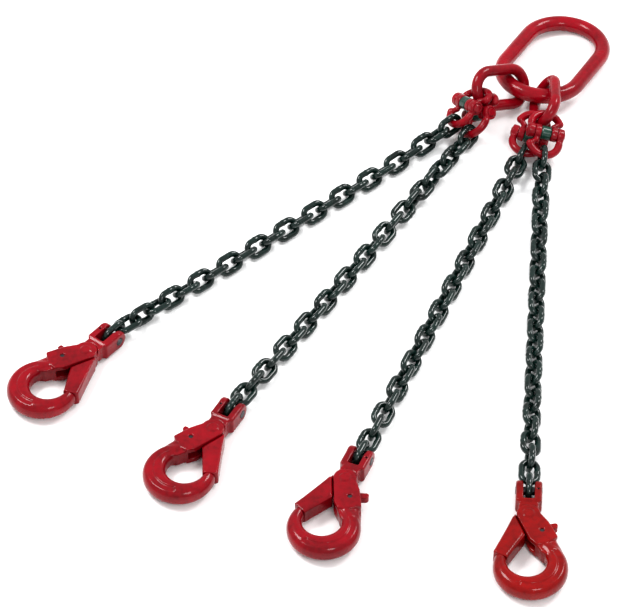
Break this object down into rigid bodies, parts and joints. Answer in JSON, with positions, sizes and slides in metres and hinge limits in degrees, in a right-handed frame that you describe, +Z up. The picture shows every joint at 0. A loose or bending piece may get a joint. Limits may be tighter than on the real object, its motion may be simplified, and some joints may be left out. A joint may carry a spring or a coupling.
{
  "type": "chain sling",
  "caption": "Chain sling: an oblong master link carries paired chain legs through intermediate links and pinned couplings, each leg ending in a clevis self-locking hook.",
  "frame": {"origin": "inner crown of the master link's far end, where a crane hook bears", "axes": "+Z up from the floor the sling lies on, +Y from the hooks towards the master link, +X to the right in the picture"},
  "size_m": [0.6874, 0.9083, 0.0591],
  "materials": {
    "ring_red": "glossy crimson coating",
    "coupling_red": "glossy crimson coating",
    "hook_red": "glossy crimson coating",
    "hook_orange": "glossy red coating",
    "chain_dark": "glossy dark green-black dipped coating",
    "bush_green": "satin dark green",
    "pin_dark": "dark satin steel",
    "spring_steel": "satin spring steel"
  },
  "bodies": {
    "master": {"master_link": "ring_red"},
    "ring_left": {"intermediate_link_left": "ring_red"},
    "ring_right": {"intermediate_link_right": "ring_red"},
    "coupling_1_top": {"coupling_1_upper_half": "coupling_red", "coupling_1_pin": "coupling_red", "coupling_1_bush": "bush_green"},
    "coupling_1_bottom": {"coupling_1_lower_half": "coupling_red"},
    "chain_1_top": {"chain_1_upper": "chain_dark"},
    "chain_1_bottom": {"chain_1_lower": "chain_dark"},
    "hook_1": {"hook_1_body": "hook_red", "hook_1_load_pin": "pin_dark", "hook_1_retaining_pin": "pin_dark"},
    "hook_1_jaw": {"hook_1_bowl": "hook_red", "hook_1_pivot_pin": "hook_red", "hook_1_trigger_pin": "pin_dark", "hook_1_trigger_spring": "spring_steel"},
    "hook_1_release": {"hook_1_trigger": "hook_red"},
    "coupling_2_top": {"coupling_2_upper_half": "coupling_red", "coupling_2_pin": "coupling_red", "coupling_2_bush": "bush_green"},
    "coupling_2_bottom": {"coupling_2_lower_half": "coupling_red"},
    "chain_2_top": {"chain_2_upper": "chain_dark"},
    "chain_2_bottom": {"chain_2_lower": "chain_dark"},
    "hook_2": {"hook_2_body": "hook_red", "hook_2_load_pin": "pin_dark", "hook_2_retaining_pin": "pin_dark"},
    "hook_2_jaw": {"hook_2_bowl": "hook_red", "hook_2_pivot_pin": "hook_red", "hook_2_trigger_pin": "pin_dark", "hook_2_trigger_spring": "spring_steel"},
    "hook_2_release": {"hook_2_trigger": "hook_red"},
    "coupling_3_top": {"coupling_3_upper_half": "coupling_red", "coupling_3_pin": "coupling_red", "coupling_3_bush": "bush_green"},
    "coupling_3_bottom": {"coupling_3_lower_half": "coupling_red"},
    "chain_3_top": {"chain_3_upper": "chain_dark"},
    "chain_3_bottom": {"chain_3_lower": "chain_dark"},
    "hook_3": {"hook_3_body": "hook_red", "hook_3_load_pin": "pin_dark", "hook_3_retaining_pin": "pin_dark"},
    "hook_3_jaw": {"hook_3_bowl": "hook_red", "hook_3_pivot_pin": "hook_red", "hook_3_trigger_pin": "pin_dark", "hook_3_trigger_spring": "spring_steel"},
    "hook_3_release": {"hook_3_trigger": "hook_red"},
    "coupling_4_top": {"coupling_4_upper_half": "coupling_red", "coupling_4_pin": "coupling_red", "coupling_4_bush": "bush_green"},
    "coupling_4_bottom": {"coupling_4_lower_half": "coupling_red"},
    "chain_4_top": {"chain_4_upper": "chain_dark"},
    "chain_4_bottom": {"chain_4_lower": "chain_dark"},
    "hook_4": {"hook_4_body": "hook_orange", "hook_4_load_pin": "pin_dark", "hook_4_retaining_pin": "pin_dark"},
    "hook_4_jaw": {"hook_4_bowl": "hook_orange", "hook_4_pivot_pin": "hook_orange", "hook_4_trigger_pin": "pin_dark", "hook_4_trigger_spring": "spring_steel"},
    "hook_4_release": {"hook_4_trigger": "hook_orange"}
  },
  "joints": [
    {"name": "ring_left_swing", "type": "hinge", "parent": "master", "child": "ring_left", "pos_m": [-0.07535, -0.1216, 0.013], "axis": [0.7927, -0.6095, 0.0135], "range_deg": [-20, 40]},
    {"name": "ring_right_swing", "type": "hinge", "parent": "master", "child": "ring_right", "pos_m": [-0.05615, -0.13035, 0.01285], "axis": [-0.9798, 0.1981, 0.0275], "range_deg": [-40, 28]},
    {"name": "coupling_1_on_ring", "type": "hinge", "parent": "ring_left", "child": "coupling_1_top", "pos_m": [-0.12554, -0.1454, 0.02753], "axis": [-0.2802, 0.4708, 0.8365], "range_deg": [-30, 0]},
    {"name": "coupling_1_fold", "type": "hinge", "parent": "coupling_1_top", "child": "coupling_1_bottom", "pos_m": [-0.13809, -0.15699, 0.02387], "axis": [-0.5102, 0.7856, -0.3501], "range_deg": [0, 45]},
    {"name": "chain_1_on_bow", "type": "hinge", "parent": "coupling_1_bottom", "child": "chain_1_top", "pos_m": [-0.15434, -0.17448, 0.0083], "axis": [-0.5102, 0.7856, -0.3501], "range_deg": [-35, 60]},
    {"name": "chain_1_middle", "type": "hinge", "parent": "chain_1_top", "child": "chain_1_bottom", "pos_m": [-0.35903, -0.35179, -0.00012], "axis": [-0.463, 0.5345, 0.7071], "range_deg": [-45, 60]},
    {"name": "hook_1_on_chain", "type": "hinge", "parent": "chain_1_bottom", "child": "hook_1", "pos_m": [-0.54106, -0.51314, 0.00237], "axis": [-0.7749, 0.632, 0], "range_deg": [-45, 45]},
    {"name": "hook_1_open", "type": "hinge", "parent": "hook_1", "child": "hook_1_jaw", "pos_m": [-0.56634, -0.54414, 0.00237], "axis": [0, 0, -1], "range_deg": [0, 30]},
    {"name": "hook_1_trigger_press", "type": "hinge", "parent": "hook_1_jaw", "child": "hook_1_release", "pos_m": [-0.59148, -0.55202, 0.00237], "axis": [0, 0, -1], "range_deg": [-15, 0], "stiffness_Nm_per_rad": 0.05, "springref_deg": 11.46},
    {"name": "coupling_2_on_ring", "type": "hinge", "parent": "ring_left", "child": "coupling_2_top", "pos_m": [-0.10969, -0.14538, 0.00959], "axis": [0.7952, 0.4727, -0.3798], "range_deg": [-2, 2]},
    {"name": "coupling_2_fold", "type": "hinge", "parent": "coupling_2_top", "child": "coupling_2_bottom", "pos_m": [-0.12429, -0.16179, 0.01147], "axis": [0.6549, -0.479, 0.5845], "range_deg": [0, 45]},
    {"name": "chain_2_on_bow", "type": "hinge", "parent": "coupling_2_bottom", "child": "chain_2_top", "pos_m": [-0.1346, -0.18681, 0.00252], "axis": [-0.6549, 0.479, -0.5845], "range_deg": [-45, 14]},
    {"name": "chain_2_middle", "type": "hinge", "parent": "chain_2_top", "child": "chain_2_bottom", "pos_m": [-0.27827, -0.41674, -0.00012], "axis": [-0.5997, 0.3747, -0.7071], "range_deg": [-45, 60]},
    {"name": "hook_2_on_chain", "type": "hinge", "parent": "chain_2_bottom", "child": "hook_2", "pos_m": [-0.40639, -0.62373, 0.00237], "axis": [-0.8805, 0.4741, 0], "range_deg": [-45, 45]},
    {"name": "hook_2_open", "type": "hinge", "parent": "hook_2", "child": "hook_2_jaw", "pos_m": [-0.42536, -0.65895, 0.00237], "axis": [0, 0, -1], "range_deg": [0, 30]},
    {"name": "hook_2_trigger_press", "type": "hinge", "parent": "hook_2_jaw", "child": "hook_2_release", "pos_m": [-0.44855, -0.67145, 0.00237], "axis": [0, 0, -1], "range_deg": [-15, 0], "stiffness_Nm_per_rad": 0.05, "springref_deg": 11.46},
    {"name": "coupling_3_on_ring", "type": "hinge", "parent": "ring_right", "child": "coupling_3_top", "pos_m": [-0.05518, -0.18071, 0.01089], "axis": [-0.3848, 0.57, -0.7259], "range_deg": [0, 8]},
    {"name": "coupling_3_fold", "type": "hinge", "parent": "coupling_3_top", "child": "coupling_3_bottom", "pos_m": [-0.06559, -0.18969, 0.00207], "axis": [-0.9427, 0.2992, 0.1478], "range_deg": [-45, 0]},
    {"name": "chain_3_on_bow", "type": "hinge", "parent": "coupling_3_bottom", "child": "chain_3_top", "pos_m": [-0.07425, -0.21684, 0.00177], "axis": [-0.9427, 0.2992, 0.1478], "range_deg": [-8, 28]},
    {"name": "chain_3_middle", "type": "hinge", "parent": "chain_3_top", "child": "chain_3_bottom", "pos_m": [-0.1767, -0.46788, -0.00012], "axis": [-0.6547, 0.2672, -0.7071], "range_deg": [-45, 60]},
    {"name": "hook_3_on_chain", "type": "hinge", "parent": "chain_3_bottom", "child": "hook_3", "pos_m": [-0.2689, -0.69321, 0.00237], "axis": [-0.9205, 0.3907, 0], "range_deg": [-45, 45]},
    {"name": "hook_3_open", "type": "hinge", "parent": "hook_3", "child": "hook_3_jaw", "pos_m": [-0.28453, -0.73003, 0.00237], "axis": [0, 0, 1], "range_deg": [0, 30]},
    {"name": "hook_3_trigger_press", "type": "hinge", "parent": "hook_3_jaw", "child": "hook_3_release", "pos_m": [-0.27978, -0.75595, 0.00237], "axis": [0, 0, 1], "range_deg": [-15, 0], "stiffness_Nm_per_rad": 0.05, "springref_deg": 11.46},
    {"name": "coupling_4_on_ring", "type": "hinge", "parent": "ring_right", "child": "coupling_4_top", "pos_m": [-0.04966, -0.18438, 0.02028], "axis": [-0.5374, 0.0432, -0.8422], "range_deg": [-20, 0]},
    {"name": "coupling_4_fold", "type": "hinge", "parent": "coupling_4_top", "child": "coupling_4_bottom", "pos_m": [-0.04829, -0.20089, 0.01807], "axis": [-0.9668, 0.0545, 0.2495], "range_deg": [0, 45]},
    {"name": "chain_4_on_bow", "type": "hinge", "parent": "coupling_4_bottom", "child": "chain_4_top", "pos_m": [-0.05241, -0.22718, 0.00785], "axis": [-0.9668, 0.0545, 0.2495], "range_deg": [-45, 60]},
    {"name": "chain_4_middle", "type": "hinge", "parent": "chain_4_top", "child": "chain_4_bottom", "pos_m": [-0.07271, -0.49726, -0.00012], "axis": [-0.7051, 0.053, -0.7071], "range_deg": [-45, 60]},
    {"name": "hook_4_on_chain", "type": "hinge", "parent": "chain_4_bottom", "child": "hook_4", "pos_m": [-0.09074, -0.74006, 0.00237], "axis": [-0.9981, 0.061, 0], "range_deg": [-45, 45]},
    {"name": "hook_4_open", "type": "hinge", "parent": "hook_4", "child": "hook_4_jaw", "pos_m": [-0.09319, -0.77999, 0.00237], "axis": [0, 0, 1], "range_deg": [0, 30]},
    {"name": "hook_4_trigger_press", "type": "hinge", "parent": "hook_4_jaw", "child": "hook_4_release", "pos_m": [-0.08006, -0.80283, 0.00237], "axis": [0, 0, 1], "range_deg": [-15, 0], "stiffness_Nm_per_rad": 0.05, "springref_deg": 11.46}
  ]
}
